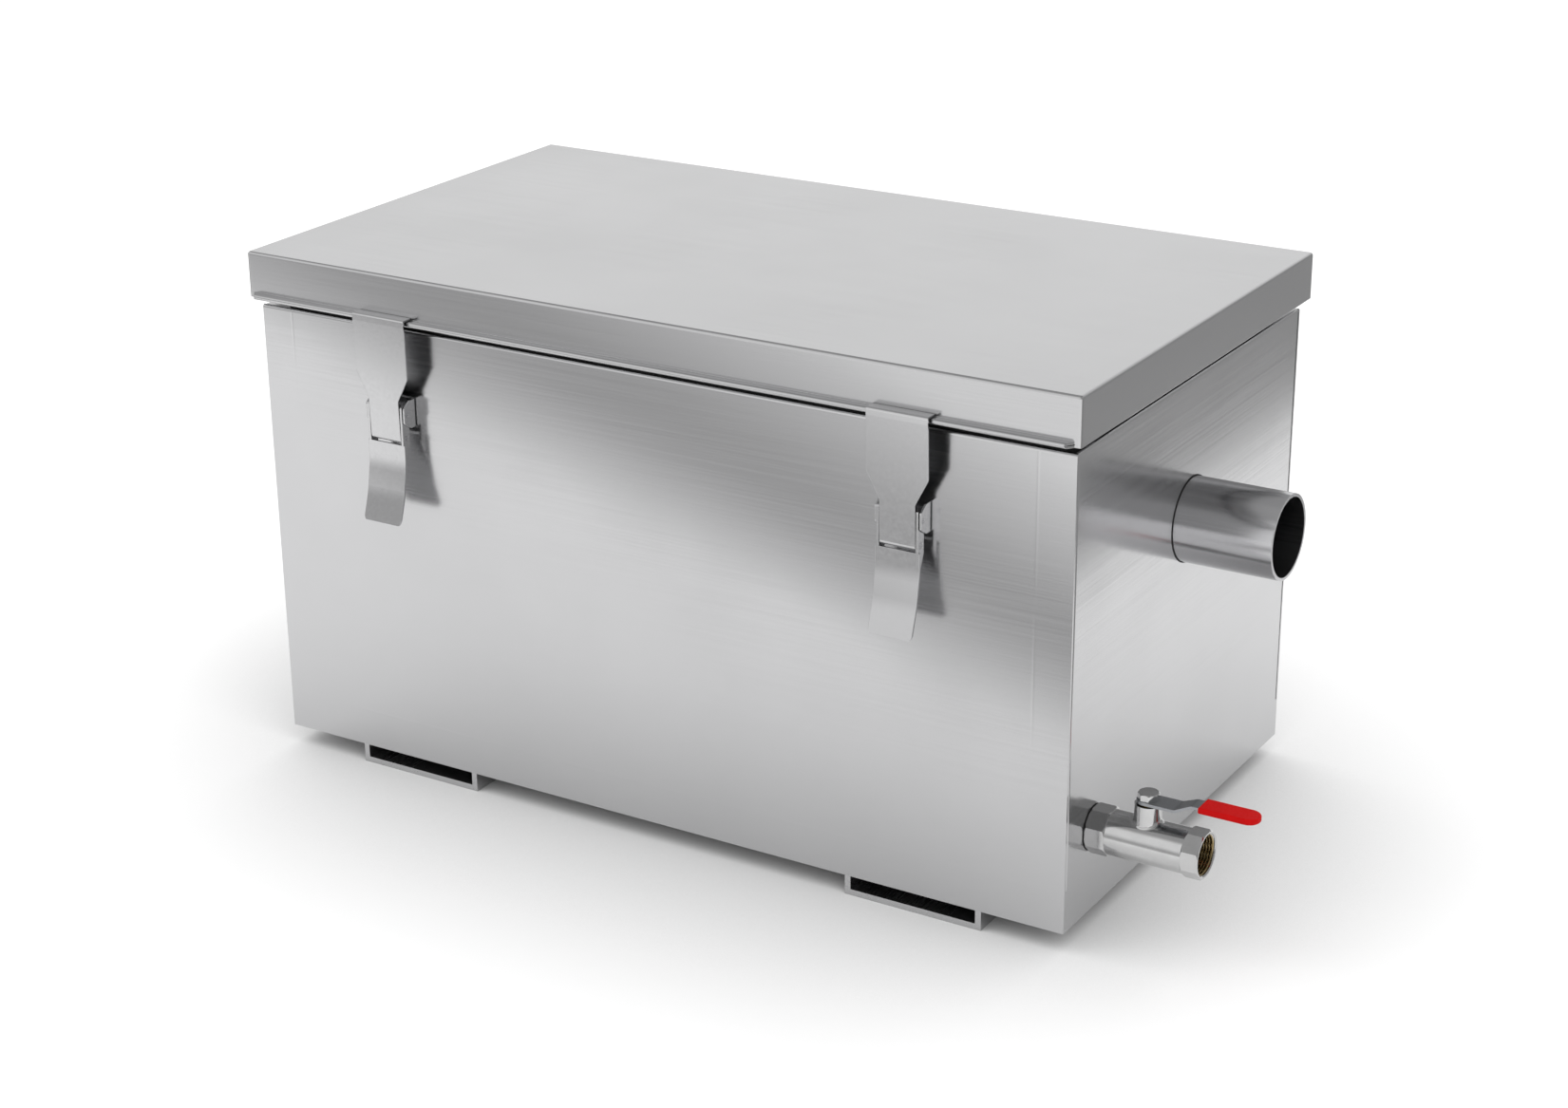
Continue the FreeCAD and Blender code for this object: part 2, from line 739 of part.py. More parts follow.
def drive_shape(radius, flats, low, high):
    """Round bar with two flats, which turns the stem with the lever."""
    bar = cylinder(radius, valve_point(stem_x, low), valve_point(stem_x, high))
    half = flats / 2.0
    z0 = drain_z + low
    z1 = drain_z + high
    return bar.common(box(stem_x - radius, stem_x + radius, drain_y - half, drain_y + half, z0, z1))


def stem_ring(low, high):
    """Ring round the stem in the neck's recess."""
    start = valve_point(stem_x, low)
    end = valve_point(stem_x, high)
    outer = cylinder(packing_radius - fit_clearance, start, end)
    return outer.cut(cylinder(stem_radius + fit_clearance, start, end))


def stem_packing():
    """Soft packing at the bottom of the recess."""
    low = neck_top - packing_height - gland_height
    return stem_ring(low, low + packing_height)


def stem_gland():
    """Brass ring pressed on the packing."""
    return stem_ring(neck_top - gland_height, neck_top)


def lever_blank():
    """Stepped strip of the valve lever, cut to its outline."""
    low_top = drain_z + stem_shoulder + lever_sheet
    high_top = low_top + lever_step_height
    path = [(lever_tip, high_top), (lever_step_end, high_top), (lever_step_start, low_top),
            (-lever_half_width, low_top)]
    path = [(stem_x + u, v) for u, v in path]
    radii = [lever_bend, lever_bend]
    strip = folded(path, lever_sheet, radii, "xz", drain_y - lever_half_width, 2.0 * lever_half_width)
    soft = lever_half_width
    near_end = lever_half_width - thin_slip
    tip_end = lever_waist - thin_slip
    outline = [(-lever_half_width, -lever_half_width, near_end),
               (lever_step_start, -lever_half_width, soft),
               (lever_step_end, -lever_waist, soft),
               (lever_tip, -lever_waist, tip_end),
               (lever_tip, lever_waist, tip_end),
               (lever_step_end, lever_waist, soft),
               (lever_step_start, lever_half_width, soft),
               (-lever_half_width, lever_half_width, near_end)]
    outline = [(stem_x + u, drain_y + v, r) for u, v, r in outline]
    return strip.common(prism(outline, "xy", drain_z, 2.0 * (high_top - drain_z)))


def valve_lever():
    """Lever with the flattened hole that fits the stem."""
    hole = drive_shape(stem_radius + fit_clearance, drive_flats + 2.0 * fit_clearance, stem_shoulder,
                       stem_shoulder + lever_sheet)
    return lever_blank().cut(hole)


def lever_bolt():
    """Eight-sided bolt that holds the lever on the stem, with the top of its head turned off."""
    low = stem_shoulder + lever_sheet
    head = octagon(bolt_flats, valve_point(stem_x, low), valve_point(stem_x, low + bolt_head), "xy")
    blank = Part.makeCone(bolt_face_radius + bolt_head, bolt_face_radius, bolt_head,
                          valve_point(stem_x, low), Vector(0, 0, 1))
    head = head.common(blank)
    shank_low = low - bolt_length + thin_slip
    return head.fuse(cylinder(bolt_radius, valve_point(stem_x, shank_low), valve_point(stem_x, low)))


def lever_grip():
    """Dipped plastic sleeve on the lever's end."""
    top = drain_z + stem_shoulder + lever_sheet + lever_step_height + grip_wall
    thickness = lever_sheet + 2.0 * grip_wall
    tip = lever_tip + grip_cover
    soft = grip_wall
    round_end = grip_half_width - thin_slip
    outline = [(grip_start, -grip_half_width, soft), (tip, -grip_half_width, round_end),
               (tip, grip_half_width, round_end), (grip_start, grip_half_width, soft)]
    outline = [(stem_x + u, drain_y + v, r) for u, v, r in outline]
    sleeve = prism(outline, "xy", top - thickness, thickness)
    edges = [e for e in sleeve.Edges if e.BoundBox.ZLength < 1e-3]
    return sleeve.makeFillet(grip_wall, edges).cut(lever_blank())


def latch_y(offset):
    """Y of a point that stands out from the front wall."""
    return -half_depth - offset


def latch_bracket():
    """Channel welded to the wall, whose two ears carry the pivot pin."""
    ear_out = lever_half_inside() + latch_sheet
    path = [(ear_out, latch_y(ear_reach)), (ear_out, latch_y(0.0)), (-ear_out, latch_y(0.0)),
            (-ear_out, latch_y(ear_reach))]
    low = pivot_z - ear_root_half
    channel = folded(path, latch_sheet, [bend_radius, bend_radius], "xy", low, 2.0 * ear_root_half)
    high = pivot_z + ear_root_half
    side = [(latch_y(0.0), low, 0.0),
            (latch_y(0.0), high, 0.0),
            (latch_y(ear_taper_from), high, edge_corner),
            (latch_y(ear_reach), pivot_z + ear_tip_half, ear_tip_corner),
            (latch_y(ear_reach), pivot_z - ear_tip_half, ear_tip_corner),
            (latch_y(ear_taper_from), low, edge_corner)]
    ears = channel.common(prism(side, "yz", -ear_out, 2.0 * ear_out))
    return ears.cut(latch_bar(pivot_radius + fit_clearance, pivot_offset, pivot_z, ear_out))


def cheek_outside():
    """Half width over the lever's two cheeks."""
    return tongue_half_width + cheek_play + lever_plate


def lever_half_inside():
    """Half of the clear width between the bracket's ears."""
    return cheek_outside() + cheek_play


def latch_bar(radius, offset, z, half):
    """Round bar across a latch."""
    return cylinder(radius, Vector(-half, latch_y(offset), z), Vector(half, latch_y(offset), z))


def latch_lever():
    """Forked lever: a curved handle, a window for the tongue and two cheeks on the pivot pin."""
    window_low = hook_pin_z - eye_radius - window_gap
    path = [(latch_y(latch_face), window_low),
            (latch_y(latch_face), pivot_z - handle_bend_one),
            (latch_y(latch_face + handle_rise_one), pivot_z - handle_bend_two),
            (latch_y(latch_face + handle_rise_two), pivot_z - handle_tip)]
    curves = [handle_curve, handle_curve]
    handle = folded(path, lever_plate, curves, "yz", -lever_half, 2.0 * lever_half)
    handle_low = pivot_z - handle_tip - lever_plate
    front = [(-lever_half, handle_low, handle_corner), (lever_half, handle_low, handle_corner),
             (lever_half, window_low, 0.0), (-lever_half, window_low, 0.0)]
    outer_y = latch_y(latch_face + handle_rise_two + lever_plate)
    handle = handle.common(prism(front, "xz", outer_y, latch_y(0.0) - outer_y))
    back_y = latch_y(latch_face - cheek_depth)
    side = [(back_y, pivot_z + lever_top, cheek_corner),
            (latch_y(latch_face), pivot_z + lever_top, edge_corner),
            (latch_y(latch_face), pivot_z - handle_bend_one + gusset_lead, 0.0),
            (latch_y(latch_face - gusset_tuck), pivot_z - gusset_end, 0.0),
            (back_y, pivot_z - gusset_start, cheek_corner)]
    inner = tongue_half_width + cheek_play
    right_cheek = prism(side, "yz", inner, lever_plate)
    left_cheek = prism(side, "yz", -inner - lever_plate, lever_plate)
    lever = handle.fuse([right_cheek, left_cheek])
    holes = [latch_bar(pivot_radius + fit_clearance, pivot_offset, pivot_z, lever_half),
             latch_bar(hook_pin_radius + fit_clearance, hook_pin_offset, hook_pin_z, lever_half)]
    return lever.cut(holes).removeSplitter()


def latch_hook():
    """Draw plate: a claw over the lid's hem, a taper and a tongue rolled round the hook pin."""
    claw_top = hem_top + claw_clearance + latch_sheet
    lip_end = lid_overhang_sides + claw_clearance
    path = [(latch_y(lip_end), claw_top), (latch_y(hook_top_offset), claw_top),
            (latch_y(hook_top_offset), claw_top - lip_height), (latch_y(latch_face), hook_pin_z)]
    bends = [claw_bend, bend_radius]
    plate = folded(path, latch_sheet, bends, "yz", -hook_half_width, 2.0 * hook_half_width)
    outline = [(-hook_half_width, claw_top, 0.0),
               (-hook_half_width, pivot_z + taper_start, hook_corner),
               (-tongue_half_width, pivot_z + taper_end, hook_corner),
               (-tongue_half_width, hook_pin_z, 0.0),
               (tongue_half_width, hook_pin_z, 0.0),
               (tongue_half_width, pivot_z + taper_end, hook_corner),
               (hook_half_width, pivot_z + taper_start, hook_corner),
               (hook_half_width, claw_top, 0.0)]
    reach = 2.0 * hook_top_offset
    plate = plate.common(prism(outline, "xz", latch_y(reach), reach))
    eye = latch_bar(eye_radius, hook_pin_offset, hook_pin_z, tongue_half_width)
    hole = latch_bar(hook_pin_radius + fit_clearance, hook_pin_offset, hook_pin_z, tongue_half_width)
    slit_y = latch_y(hook_pin_offset)
    slit = box(-tongue_half_width, tongue_half_width, slit_y, slit_y + eye_slit, hook_pin_z,
               hook_pin_z + eye_radius)
    return plate.fuse(eye).cut([hole, slit]).removeSplitter()


def latch_pieces():
    """The five pieces of one latch, centred on X = 0 at the front wall."""
    ear_out = lever_half_inside() + latch_sheet
    return {
        "bracket": latch_bracket(),
        "pivot_pin": latch_bar(pivot_radius, pivot_offset, pivot_z, ear_out),
        "lever": latch_lever(),
        "hook_pin": latch_bar(hook_pin_radius, hook_pin_offset, hook_pin_z, cheek_outside()),
        "hook": latch_hook(),
    }


def all_pieces():
    """Every piece of the trap, by name."""
    pieces = {
        "lid": lid(),
        "lid_gasket": gasket(),
        "front_panel": front_panel(),
        "back_panel": turned_about(front_panel()),
        "left_end_panel": left_end_panel(),
        "right_end_panel": right_end_panel(),
        "floor_pan": floor_pan(),
        "left_foot": foot(foot_inset_left - half_length),
        "right_foot": foot(half_length - foot_inset_right - foot_width),
        "inlet_pipe": inlet_pipe(),
        "inlet_seal": inlet_seal(),
        "outlet_pipe": outlet_pipe(),
        "outlet_seal": outlet_seal(),
        "sediment_weir": sediment_weir(),
        "grease_baffle": grease_baffle(),
        "strainer_basket": strainer_basket(),
        "front_basket_ledge": basket_ledge(),
        "back_basket_ledge": basket_ledge().mirror(Vector(0, 0, 0), Vector(0, 1, 0)),
        "drain_nipple": drain_nipple(),
        "drain_seal": drain_seal(),
        "valve_body": valve_body(),
        "valve_end": valve_end(),
        "inner_ball_seat": ball_seat(-1.0),
        "outer_ball_seat": ball_seat(1.0),
        "valve_ball": valve_ball(),
        "valve_stem": stem(),
        "stem_packing": stem_packing(),
        "stem_gland": stem_gland(),
        "valve_lever": valve_lever(),
        "lever_bolt": lever_bolt(),
        "lever_grip": lever_grip(),
    }
    latch = latch_pieces()
    for place, x in (("left", -latch_x), ("right", latch_x)):
        for name, shape in latch.items():
            front = shape.copy()
            front.translate(Vector(x, 0, 0))
            pieces["front_" + place + "_latch_" + name] = front
            back = turned_about(shape)
            back.translate(Vector(x, 0, 0))
            pieces["back_" + place + "_latch_" + name] = back
    return pieces


def main():
    """Write one file per piece, with the origin midway along the part."""
    os.makedirs("parts", exist_ok=True)
    for name, shape in all_pieces().items():
        shape.translate(Vector(-origin_x, 0, 0))
        shape.exportStep("parts/" + name + ".step")


if __name__ == "__main__":
    main()
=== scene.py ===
import json
import math

import bmesh
import bpy
from mathutils import Matrix, Vector

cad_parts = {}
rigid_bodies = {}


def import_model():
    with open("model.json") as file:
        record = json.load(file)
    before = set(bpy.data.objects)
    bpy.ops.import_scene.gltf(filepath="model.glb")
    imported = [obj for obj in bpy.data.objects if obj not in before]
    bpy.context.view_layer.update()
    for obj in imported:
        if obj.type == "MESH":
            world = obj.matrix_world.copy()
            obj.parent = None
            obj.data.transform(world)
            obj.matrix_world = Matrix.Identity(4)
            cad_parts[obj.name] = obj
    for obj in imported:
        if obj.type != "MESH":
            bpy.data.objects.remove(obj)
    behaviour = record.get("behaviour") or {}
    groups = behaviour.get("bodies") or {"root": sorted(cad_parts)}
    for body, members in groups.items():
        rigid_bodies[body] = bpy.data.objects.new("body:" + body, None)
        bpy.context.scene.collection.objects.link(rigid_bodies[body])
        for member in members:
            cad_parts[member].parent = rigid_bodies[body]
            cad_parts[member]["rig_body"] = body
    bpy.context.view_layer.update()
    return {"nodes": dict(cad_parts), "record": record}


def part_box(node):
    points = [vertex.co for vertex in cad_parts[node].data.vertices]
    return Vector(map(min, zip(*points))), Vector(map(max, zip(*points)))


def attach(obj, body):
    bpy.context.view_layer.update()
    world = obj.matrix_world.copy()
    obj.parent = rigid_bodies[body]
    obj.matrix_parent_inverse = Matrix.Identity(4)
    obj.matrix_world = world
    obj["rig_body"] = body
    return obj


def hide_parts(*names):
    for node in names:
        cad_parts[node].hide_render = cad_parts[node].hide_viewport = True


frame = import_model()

# Grease trap of satin stainless sheet on a white studio floor.
# Lengths are metres, and MM turns millimetres into them.
MM = 0.001

# Camera, as fitted to the photograph's edges
CAMERA_PLACE = Vector((0.9356, -1.5576, 0.8622))
CAMERA_AZIMUTH = math.radians(31.46)
CAMERA_DROP = math.radians(21.50)
CAMERA_ROLL = math.radians(-0.50)
CAMERA_LENS = 67.2
CAMERA_SENSOR = 36.0

# Drain valve's end piece: its axis, radii, and lengths along X. THREAD_FLAT is the share of the depth that
# a flat tip takes off the V, and the steps are rings in a turn of the thread and corners in a ring.
VALVE_Y = -125.25 * MM
VALVE_Z = 68.0 * MM
OCTAGON_HALF = 14.25 * MM
OCTAGON_FACE = 14.4 * MM
OCTAGON_LENGTH = 11.2 * MM
TAIL_RADIUS = 12.45 * MM
PASSAGE_RADIUS = 9.0 * MM
MOUTH_RADIUS = 13.3 * MM
THREAD_MINOR = 12.06 * MM
THREAD_MAJOR = 13.22 * MM
THREAD_PITCH = 1.814 * MM
THREAD_FLAT = 0.125
THREAD_STEPS = 14
THREAD_LENGTH = 11.15 * MM
RING_STEPS = 96

# Stage: the paper's tones, the darker one a painted shadow, how far that painted soft shadow reaches, the
# floor's own white and reach
WHITE_PAPER = (0.8, 0.8, 0.8, 1.0)
SHADED_PAPER = (0.45, 0.45, 0.45, 1.0)
SHADOW_REACH = 0.25
FLOOR_LIFT = 0.33
FLOOR_REACH = 9.0

# Lamps: their width, and the height over the floor that they point at
LAMP_SIZE = 1.6
LAMP_AIM = 0.15

# Sky's light on the stage, and what metal sees of it: the share missing in the ceiling behind the trap
# and straight above it, and the light that is left to the right
SKY_LIGHT = 0.95
CEILING_DARK = 0.6
ZENITH_DARK = 0.55
RIGHT_LIGHT = 0.5

# Painted shade in gaps: within this reach of another surface, steel's colour darkens towards this colour
PAINTED_SHADE_REACH = 8.0 * MM
PAINTED_SHADE_COLOUR = (0.06, 0.06, 0.06, 1.0)

# Width of the cloudy patches in a polished sheet, and of the drift in a cast or moulded skin
CLOUD = 110.0 * MM
DRIFT = 9.0 * MM

# Folds behind the front and back walls, whose edges print through as faint lines
END_FLANGE = 24.0 * MM
FLOOR_FLANGE_TOP = 39.0 * MM
PRINT_LINE = 1.2 * MM
PRINT_HEIGHT = 0.07 * MM


def linear(code):
    """Turns an sRGB hex colour into the linear one that shaders use."""
    channels = [int(code[i:i + 2], 16) / 255.0 for i in (0, 2, 4)]
    return tuple(c / 12.92 if c <= 0.04045 else ((c + 0.055) / 1.055) ** 2.4 for c in channels) + (1.0,)


def add_node(tree, kind, inputs=None, **settings):
    """Adds a node. inputs gives sockets, by name or number, a value or the output that they read."""
    node = tree.nodes.new(kind)
    for name, value in settings.items():
        setattr(node, name, value)
    for name, value in (inputs or {}).items():
        if isinstance(value, bpy.types.NodeSocket):
            tree.links.new(value, node.inputs[name])
        else:
            node.inputs[name].default_value = value
    return node


def new_material(name):
    """An empty material with its Principled shader."""
    material = bpy.data.materials.new(name)
    material.use_nodes = True
    tree = material.node_tree
    tree.nodes.clear()
    shader = add_node(tree, "ShaderNodeBsdfPrincipled")
    add_node(tree, "ShaderNodeOutputMaterial", {"Surface": shader.outputs["BSDF"]})
    return material, tree, shader


def noise(tree, cell, detail=2.0):
    """Noise whose grains measure cell along X, Y and Z of the object."""
    place = add_node(tree, "ShaderNodeTexCoord").outputs["Object"]
    scale = tuple(1.0 / size for size in cell)
    mapped = add_node(tree, "ShaderNodeMapping", {"Vector": place, "Scale": scale}).outputs["Vector"]
    grains = add_node(tree, "ShaderNodeTexNoise", {"Vector": mapped, "Scale": 1.0, "Detail": detail})
    return grains.outputs["Fac"]


def spread(tree, value, low, high, start=0.3, end=0.7):
    """Stretches a value from start..end to low..high."""
    reach = {"Value": value, "From Min": start, "From Max": end, "To Min": low, "To Max": high}
    return add_node(tree, "ShaderNodeMapRange", reach).outputs["Result"]


def blend_colour(tree, amount, first, second):
    """Mixes two colours by an amount."""
    mix = add_node(tree, "ShaderNodeMix", {0: amount, 6: first, 7: second}, data_type="RGBA")
    return mix.outputs[2]


def blend(tree, amount, first, second):
    """Mixes two values by an amount."""
    return add_node(tree, "ShaderNodeMix", {0: amount, 2: first, 3: second}).outputs[0]


def shade(tree, *values, operation="ADD"):
    """Arithmetic on one, two or three values."""
    return add_node(tree, "ShaderNodeMath", dict(enumerate(values)), operation=operation).outputs["Value"]


def bump(tree, strength, distance, height, normal):
    """Tilts a normal by the slope of a height between 0 and 1, which stands for a real distance."""
    sockets = {"Strength": strength, "Distance": distance, "Height": height, "Normal": normal}
    return add_node(tree, "ShaderNodeBump", sockets).outputs["Normal"]


def near_level(tree, place, level):
    """1 where place is at the level, fading to 0 a print line's width away."""
    away = shade(tree, shade(tree, place, level, operation="SUBTRACT"), operation="ABSOLUTE")
    return spread(tree, away, 1.0, 0.0, 0.0, PRINT_LINE)


def print_lines(tree):
    """Fades from 1 on the lines over the flange edges behind the front and back walls to 0 beside them."""
    spot = add_node(tree, "ShaderNodeTexCoord").outputs["Object"]
    parts = add_node(tree, "ShaderNodeSeparateXYZ", {"Vector": spot}).outputs
    low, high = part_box("front_panel")
    lines = [near_level(tree, parts["Z"], FLOOR_FLANGE_TOP)]
    for x in (low.x + END_FLANGE, high.x - END_FLANGE):
        above = shade(tree, parts["Z"], FLOOR_FLANGE_TOP, operation="GREATER_THAN")
        lines.append(shade(tree, near_level(tree, parts["X"], x), above, operation="MULTIPLY"))
    total = lines[0]
    for line in lines[1:]:
        total = shade(tree, total, line, operation="MAXIMUM")
    return total


def steel(name, colour, gloss, grain, edge, relief, lines=False, wear_and_highlight=1.06):
    """Stainless steel: a soft mirror with a fine grain, cloudy gloss, rounded edges worn bright with a
    painted highlight, and painted shade in narrow gaps.

    gloss is the lowest and highest roughness, grain the size of the grains along X, Y and Z, edge the radius
    that cut edges catch light over, wear_and_highlight how much brighter their colour is, for wear and a
    painted highlight, and relief the height of the grain.
    lines adds the faint marks of the flanges behind a wall.
    """
    material, tree, shader = new_material(name)
    base = linear(colour)
    dull = tuple(0.96 * c for c in base[:3]) + (1.0,)
    # Lighter colour of worn edges, which also serves as a painted highlight
    bright = tuple(wear_and_highlight * c for c in base[:3]) + (1.0,)
    fine = noise(tree, grain)
    cloud = noise(tree, (CLOUD,) * 3, 3.0)
    rounded = add_node(tree, "ShaderNodeBevel", {"Radius": edge}, samples=4).outputs["Normal"]
    flat = add_node(tree, "ShaderNodeNewGeometry").outputs["Normal"]
    turn = add_node(tree, "ShaderNodeVectorMath", {0: rounded, 1: flat}, operation="DOT_PRODUCT")
    # Where the rounded normal leaves the flat one, the edge is worn bright and carries a painted highlight
    worn_and_highlit = spread(tree, turn.outputs["Value"], 1.0, 0.0, 0.86, 0.995)
    tone = blend_colour(tree, spread(tree, cloud, 0.0, 1.0), base, dull)
    # Painted shade: ambient occlusion darkens the colour towards the gap colour where surfaces face each
    # other closely
    painted_shade_openness = add_node(tree, "ShaderNodeAmbientOcclusion", {"Distance": PAINTED_SHADE_REACH}, samples=4).outputs["AO"]
    tone = blend_colour(tree, spread(tree, painted_shade_openness, 0.0, 1.0, 0.08, 0.36), PAINTED_SHADE_COLOUR, tone)
    shader.inputs["Metallic"].default_value = 1.0
    tree.links.new(blend_colour(tree, worn_and_highlit, tone, bright), shader.inputs["Base Color"])
    rough = shade(tree, spread(tree, fine, gloss[0], gloss[1]), spread(tree, cloud, -0.02, 0.02))
    tree.links.new(rough, shader.inputs["Roughness"])
    normal = bump(tree, 0.25, relief, fine, rounded)
    if lines:
        normal = bump(tree, 0.5, PRINT_HEIGHT, print_lines(tree), normal)
    tree.links.new(normal, shader.inputs["Normal"])
    return material


def plain(name, colour, rough, cell, relief, metallic=0.0, edge=0.3 * MM, dark=0.8, shine=0.5):
    """Moulded, cast or turned finish with a fine skin, whose colour drifts towards a darker one.

    rough is the lowest and highest roughness, cell the size of the skin's grains, relief their height, edge
    the radius of rounded edges, dark the share of light in the darker colour, and shine the surface's gloss
    where it isn't metal.
    """
    material, tree, shader = new_material(name)
    base = linear(colour)
    shadow = tuple(dark * c for c in base[:3]) + (1.0,)
    skin = noise(tree, cell)
    drift = noise(tree, (DRIFT,) * 3, 3.0)
    rounded = add_node(tree, "ShaderNodeBevel", {"Radius": edge}, samples=4).outputs["Normal"]
    tone = blend_colour(tree, spread(tree, drift, 0.0, 1.0), base, shadow)
    tree.links.new(tone, shader.inputs["Base Color"])
    tree.links.new(spread(tree, skin, rough[0], rough[1]), shader.inputs["Roughness"])
    tree.links.new(bump(tree, 0.3, relief, skin, rounded), shader.inputs["Normal"])
    shader.inputs["Metallic"].default_value = metallic
    shader.inputs["Specular IOR Level"].default_value = shine
    return material


# Real polishing lines are under 0.1 mm apart. They are drawn about 1 mm apart, so that they show.
ALONG = 160.0 * MM
ACROSS = 1.1 * MM
POLISHED_ALONG_X = (ALONG, ACROSS, ACROSS)
POLISHED_ALONG_Y = (ACROSS, ALONG, ACROSS)
FINISHES = {
    # Cold-rolled sheet with a satin polish along X: near things mirror, far ones blur
    "lid_steel": steel("satin_stainless_lid", "C0C0C1", (0.15, 0.22), POLISHED_ALONG_X, 0.6 * MM,
                       0.005 * MM),
    "tank_steel": steel("satin_stainless_shell", "C4C4C5", (0.14, 0.21), POLISHED_ALONG_X, 0.3 * MM,
                        0.006 * MM),
    "wall_steel": steel("satin_stainless_walls", "C4C4C5", (0.14, 0.21), POLISHED_ALONG_X, 0.12 * MM,
                        0.006 * MM, lines=True),
    "end_steel": steel("satin_stainless_ends", "C4C4C5", (0.14, 0.21), POLISHED_ALONG_Y, 0.12 * MM,
                       0.006 * MM),
    # Pressed channel: a duller satin than the walls, with its lines three times as far apart
    "foot_steel": steel("pressed_stainless_feet", "C9C9CA", (0.26, 0.28), (3 * ACROSS, ALONG, 3 * ACROSS),
                        0.3 * MM, 0.001 * MM),
    # Punched and pressed basket: a duller satin too
    "basket_steel": steel("pressed_stainless_basket", "C6C6C8", (0.2, 0.3), POLISHED_ALONG_X, 0.3 * MM,
                          0.008 * MM),
    # Drawn and polished tube: lengthwise bands of light
    "pipe_steel": steel("polished_stainless_tube", "C6C6C8", (0.15, 0.22), (ALONG, 0.9 * MM, 0.9 * MM),
                        0.3 * MM, 0.004 * MM, wear_and_highlight=1.3),
    # Stamped and tumbled latch plates: edges worn bright with a painted highlight, and an even satin
    "latch_steel": steel("tumbled_stainless_latch", "C6C6C7", (0.15, 0.22), (2.5 * MM, 2.5 * MM, 2.5 * MM),
                         0.35 * MM, 0.004 * MM, wear_and_highlight=1.2),
    # Drawn wire, cut to length: fine lines along a dull grey pin
    "pin_steel": steel("drawn_stainless_pin", "B8B8BA", (0.2, 0.3), (20 * MM, 0.5 * MM, 0.5 * MM), 0.25 * MM,
                       0.006 * MM),
    # Dull zinc plating on a stamped strip
    "lever_steel": steel("zinc_plated_lever", "9C9EA1", (0.3, 0.35), (12 * MM, 1.0 * MM, 1.0 * MM), 0.2 * MM,
                         0.001 * MM, wear_and_highlight=1.6),
    # Turned and cast brass under bright nickel: a smooth mirror with a slightly uneven skin
    "valve_plating": plain("nickel_plated_brass", "C9C9C9", (0.1, 0.16), (1.6 * MM,) * 3, 0.003 * MM, 1.0,
                           dark=0.92),
    # Ground ball under hard chrome: almost a clear mirror
    "ball_plating": plain("chromed_ball", "D2D2D4", (0.05, 0.09), (2.0 * MM,) * 3, 0.002 * MM, 1.0,
                          dark=0.92),
    # Turned brass: yellow metal with a fine uneven skin
    "stem_brass": plain("turned_brass", "C9A869", (0.2, 0.32), (1.0 * MM,) * 3, 0.006 * MM, 1.0),
    # Cut thread under thin nickel, which lets the brass show through
    "thread_metal": plain("nickel_washed_thread", "B09D74", (0.2, 0.3), (1.0 * MM,) * 3, 0.004 * MM, 1.0,
                          edge=0.02 * MM),
    # Vulcanised nitrile rubber: matt black with a dry skin
    "seal_rubber": plain("nitrile_rubber", "141414", (0.6, 0.75), (0.8 * MM,) * 3, 0.02 * MM),
    # Turned fluoropolymer: waxy white
    "seat_plastic": plain("turned_white_fluoropolymer", "E9E8E3", (0.4, 0.5), (0.7 * MM,) * 3, 0.01 * MM),
    # Vinyl dip: saturated red with a soft gloss
    "grip_vinyl": plain("dipped_red_vinyl", "CC0303", (0.5, 0.65), (1.4 * MM,) * 3, 0.012 * MM,
                        edge=0.5 * MM, dark=0.9, shine=0.12),
}


def dress_solids():
    """Gives every CAD node its finish."""
    slots = {row["node"]: row["material_slot"] for row in frame["record"]["subparts"]}
    for name, node in frame["nodes"].items():
        finish = slots[name]
        if name in ("front_panel", "back_panel"):
            finish = "wall_steel"
        if name in ("left_end_panel", "right_end_panel"):
            finish = "end_steel"
        node.data.materials.clear()
        node.data.materials.append(FINISHES[finish])


def finish_piece(bm, name, body, slot):
    """Turns a bmesh into a piece that rides on a body."""
    mesh = bpy.data.meshes.new(name)
    bm.to_mesh(mesh)
    bm.free()
    piece = bpy.data.objects.new(name, mesh)
    bpy.context.scene.collection.objects.link(piece)
    mesh.materials.append(FINISHES[slot])
    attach(piece, body)
    return piece


def octagon_reach(angle):
    """Distance of the octagon's outline from its axis, with two flats level."""
    sector = math.pi / 4.0
    return OCTAGON_HALF / math.cos((angle + sector / 2.0) % sector - sector / 2.0)


def thread_radius(depth, angle):
    """Radius of the thread's wall: a V with flat tips that winds round the axis and runs out inside."""
    phase = (depth / THREAD_PITCH + angle / (2.0 * math.pi)) % 1.0
    slope = (1.0 + 2.0 * THREAD_FLAT) * (1.0 - abs(2.0 * phase - 1.0)) - THREAD_FLAT
    groove = min(1.0, max(0.0, slope))
    groove *= min(1.0, (THREAD_LENGTH - depth) / THREAD_PITCH)
    return max(THREAD_MINOR + (THREAD_MAJOR - THREAD_MINOR) * groove, MOUTH_RADIUS - depth)


def add_ring(bm, place_of, steps):
    """A ring of vertices round the valve's axis. place_of gives the X and the radius at an angle."""
    ring = bmesh.ops.create_circle(bm, cap_ends=False, radius=1.0, segments=steps)["verts"]
    for i, vertex in enumerate(ring):
        angle = 2.0 * math.pi * i / steps
        along, radius = place_of(angle)
        vertex.co = (along, VALVE_Y + radius * math.cos(angle), VALVE_Z + radius * math.sin(angle))
    return ring


def add_band(bm, first, second, finish):
    """Faces between two rings, corner to corner, so that the thread's slope doesn't twist them."""
    for i, corner in enumerate(first):
        face = bm.faces.new((first[i - 1], corner, second[i], second[i - 1]))
        face.material_index = finish


